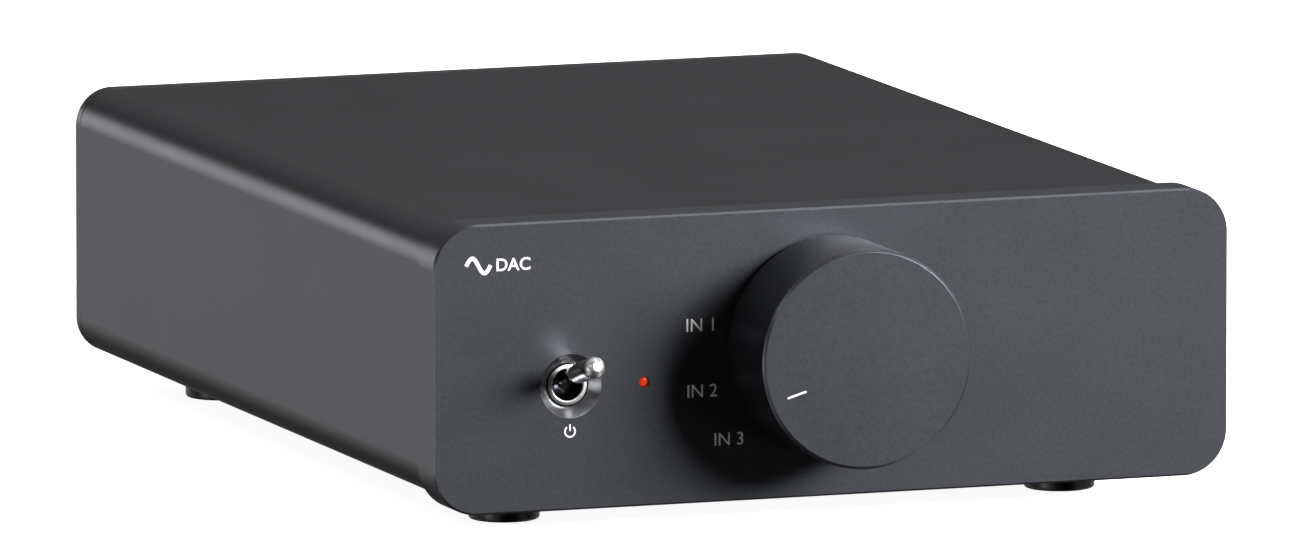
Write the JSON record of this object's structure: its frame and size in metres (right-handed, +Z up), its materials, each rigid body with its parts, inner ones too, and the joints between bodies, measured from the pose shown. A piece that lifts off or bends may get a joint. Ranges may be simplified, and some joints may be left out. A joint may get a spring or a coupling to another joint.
{
  "type": "desktop audio converter",
  "caption": "Compact desktop audio converter in an extruded aluminium case with a source selector knob, a power toggle, an indicator light and rear sockets.",
  "frame": {"origin": "centre of the overall box at the level of the resting face under the feet", "axes": "+X to the right seen from the front, +Y from the front plate towards the rear sockets, +Z up"},
  "size_m": [0.105, 0.1624, 0.0396],
  "materials": {
    "black_anodised": "satin anodised",
    "black_steel": "black oxide",
    "zinc_steel": "zinc plated",
    "nickel": "bright nickel plated",
    "die_cast": "die cast",
    "rubber": "moulded",
    "white_nylon": "moulded",
    "black_plastic": "moulded",
    "blue_plastic": "moulded",
    "phenolic": "laminate",
    "red_pipe": "translucent moulding",
    "led_cream": "moulded",
    "board_green": "solder mask",
    "gold": "gold plated",
    "chip_black": "moulded epoxy",
    "can_sleeve": "printed sleeve",
    "can_gold": "printed sleeve",
    "ferrite": "wound copper on ferrite",
    "chip_part": "fired ceramic"
  },
  "bodies": {
    "case": {"front_panel": "black_anodised", "case_sleeve": "black_anodised", "rear_panel": "black_anodised", "case_screws": "black_steel", "bracket_left": "zinc_steel", "bracket_right": "zinc_steel", "bracket_panel_screws": "zinc_steel", "bracket_board_screws": "zinc_steel", "bracket_nuts": "zinc_steel", "foot_front_left": "rubber", "foot_front_right": "rubber", "foot_rear_left": "rubber", "foot_rear_right": "rubber", "foot_screws": "black_steel", "selector_housing": "die_cast", "selector_nut": "zinc_steel", "selector_washer": "zinc_steel", "selector_ball": "nickel", "selector_spring": "zinc_steel", "selector_wafer": "phenolic", "selector_contacts": "gold", "toggle_frame": "nickel", "toggle_body": "blue_plastic", "toggle_terminals": "gold", "light_pipe": "red_pipe", "power_led": "led_cream", "control_board": "board_green", "board_link": "black_plastic", "main_board": "board_green", "usb_bridge_chip": "chip_black", "dac_chip": "chip_black", "receiver_chip": "chip_black", "small_chips": "chip_black", "oscillators": "zinc_steel", "supply_capacitors": "can_sleeve", "signal_capacitors": "can_gold", "supply_choke": "ferrite", "mute_relay": "led_cream", "chip_parts": "chip_part", "output_jack_block": "black_plastic", "coax_jack_block": "black_plastic", "phono_barrels": "gold", "phono_insulators": "white_nylon", "phono_contacts": "gold", "jack_screws": "black_steel", "optical_body": "black_plastic", "usb_shell": "zinc_steel", "usb_insert": "white_nylon", "dc_jack": "black_plastic"},
    "selector": {"knob": "black_anodised", "knob_grub_screw": "black_steel", "selector_shaft": "zinc_steel", "selector_clip": "zinc_steel", "selector_star": "white_nylon", "selector_wiper": "white_nylon"},
    "lever": {"toggle_lever": "nickel", "toggle_plunger": "white_nylon", "toggle_spring": "zinc_steel"},
    "rocker": {"toggle_rocker": "gold"},
    "shutter": {"optical_door": "black_plastic"}
  },
  "joints": [
    {"name": "source_turn", "type": "hinge", "parent": "case", "child": "selector", "pos_m": [-0.0005, -0.07455, 0.0224], "axis": [0, -1, 0], "range_deg": [-30, 30]},
    {"name": "power_flip", "type": "hinge", "parent": "case", "child": "lever", "pos_m": [-0.0345, -0.06295, 0.0189], "axis": [1, 0, 0], "range_deg": [0, 30]},
    {"name": "contact_rock", "type": "hinge", "parent": "case", "child": "rocker", "pos_m": [-0.0345, -0.05345, 0.0189], "axis": [-1, 0, 0], "range_deg": [0, 20]},
    {"name": "shutter_swing", "type": "hinge", "parent": "case", "child": "shutter", "pos_m": [0.009, 0.07075, 0.02245], "axis": [-1, 0, 0], "range_deg": [0, 85], "stiffness_Nm_per_rad": 0.0005, "springref_deg": -20.05}
  ],
  "couplings": [
    {"joint": "contact_rock", "follows": "power_flip", "ratio": 0.6667}
  ]
}
